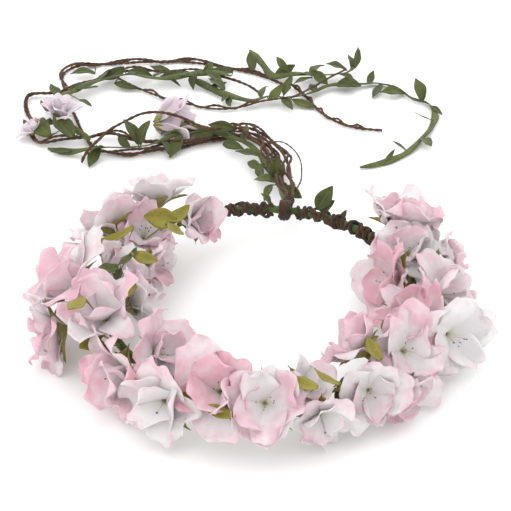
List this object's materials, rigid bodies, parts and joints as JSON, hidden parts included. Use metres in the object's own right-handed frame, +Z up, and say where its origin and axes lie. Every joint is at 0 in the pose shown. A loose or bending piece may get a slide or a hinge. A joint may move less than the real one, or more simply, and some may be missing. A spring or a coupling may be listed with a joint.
{
  "type": "flower crown",
  "caption": "Wire hoop wrapped in floral tape and ringed with silk blossoms on branched stems, with a swinging tail of twisted vines and leaf ribbons.",
  "frame": {"origin": "middle of the head opening, on the plane that the crown lies on", "axes": "+Z up out of the head opening, +Y back towards the tail, -Y the brow side"},
  "size_m": [0.3556, 0.4651, 0.0632],
  "materials": {
    "silk_blush": "thin matt silk, white with blush edges",
    "silk_pink": "thin matt silk, pink fading to white",
    "silk_lavender": "thin matt silk, pale lavender pink",
    "stem_lime": "soft moulded plastic calyxes on wrapped wire",
    "leaf_green": "stiffened fabric leaf, matt",
    "paper_vine": "twisted brown paper over wire",
    "paper_binding": "wound brown paper",
    "floral_tape": "crepe floral tape, dark green",
    "steel_wire": "plain wire"
  },
  "bodies": {
    "crown": {"blossom_01": "silk_pink", "blossom_02": "silk_blush", "blossom_03": "silk_blush", "blossom_04": "silk_blush", "blossom_05": "silk_blush", "blossom_06": "silk_pink", "blossom_07": "silk_blush", "blossom_08": "silk_blush", "blossom_09": "silk_blush", "blossom_10": "silk_pink", "blossom_11": "silk_blush", "blossom_12": "silk_pink", "blossom_13": "silk_blush", "blossom_14": "silk_blush", "blossom_15": "silk_pink", "blossom_16": "silk_blush", "blossom_17": "silk_blush", "blossom_18": "silk_blush", "blossom_19": "silk_blush", "blossom_20": "silk_blush", "blossom_21": "silk_blush", "blossom_22": "silk_blush", "blossom_23": "silk_blush", "blossom_24": "silk_pink", "blossom_25": "silk_blush", "blossom_26": "silk_blush", "blossom_27": "silk_pink", "blossom_28": "silk_blush", "blossom_29": "silk_blush", "blossom_30": "silk_blush", "blossom_31": "silk_blush", "hoop_tape": "floral_tape", "hoop_wire": "steel_wire", "leaf_back": "leaf_green", "sprig_01": "stem_lime", "sprig_02": "stem_lime", "sprig_03": "stem_lime", "sprig_04": "stem_lime", "sprig_05": "stem_lime", "sprig_06": "stem_lime", "sprig_07": "stem_lime", "sprig_08": "stem_lime", "sprig_09": "stem_lime", "sprig_10": "stem_lime", "twist_back_left": "paper_vine", "twist_back_right": "paper_vine"},
    "tail": {"tail_loop": "paper_binding", "vine_long": "paper_vine", "vine_return": "paper_vine", "vine_arch": "paper_vine", "vine_fine": "paper_vine", "vine_end": "paper_vine", "ribbon_near": "leaf_green", "ribbon_left": "leaf_green", "ribbon_right": "leaf_green", "ribbon_far": "leaf_green", "thread_loop": "paper_vine", "tail_blossom_cup": "silk_lavender", "tail_blossom_fold": "silk_lavender", "tail_blossom_white": "silk_lavender"}
  },
  "joints": [
    {"name": "tail_swing", "type": "hinge", "parent": "crown", "child": "tail", "pos_m": [0, 0.0925, 0.024], "axis": [1, 0, 0], "range_deg": [-90, 80]}
  ]
}
